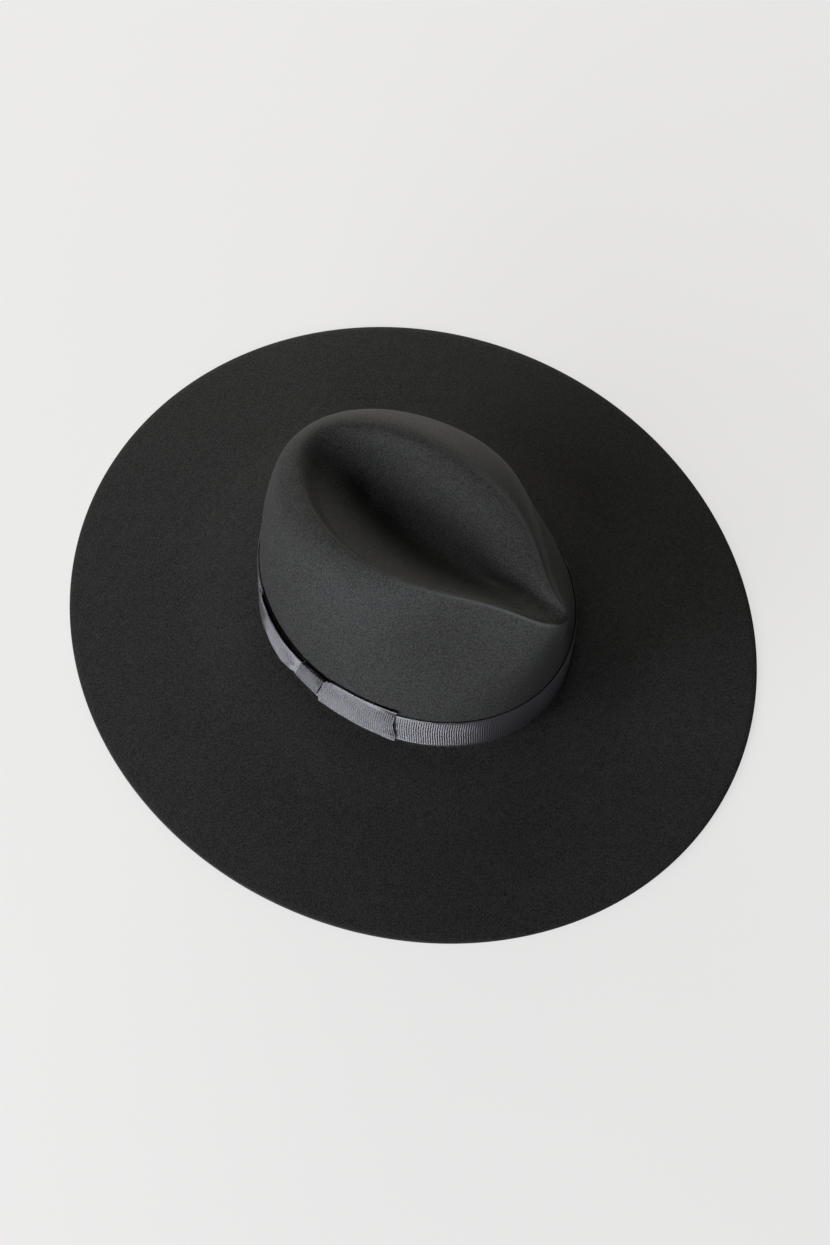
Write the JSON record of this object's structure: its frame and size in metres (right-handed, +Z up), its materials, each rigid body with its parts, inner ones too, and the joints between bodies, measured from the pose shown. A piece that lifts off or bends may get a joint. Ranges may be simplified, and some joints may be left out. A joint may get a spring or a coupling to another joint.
{
  "type": "wide-brimmed felt hat",
  "caption": "Wide flat-brimmed felt hat with a pinched teardrop crown, a ribbon band and a flat ribbon bow on the wearer's right.",
  "frame": {"origin": "middle of the brim's underside, on the surface that the hat rests on", "axes": "+Z up through the crown, the wearer faces -Y, +X is the wearer's left"},
  "size_m": [0.393, 0.428, 0.118],
  "materials": {
    "wool_felt": "matt charcoal wool felt with a fine short nap",
    "band_ribbon": "grey grosgrain ribbon with fine cross ribs and a soft sheen",
    "bow_ribbon": "grey grosgrain ribbon with fine cross ribs and a soft sheen"
  },
  "bodies": {
    "root": {"felt_body": "wool_felt", "hat_band": "band_ribbon", "bow_ribbon": "bow_ribbon", "bow_knot": "bow_ribbon"}
  },
  "joints": []
}
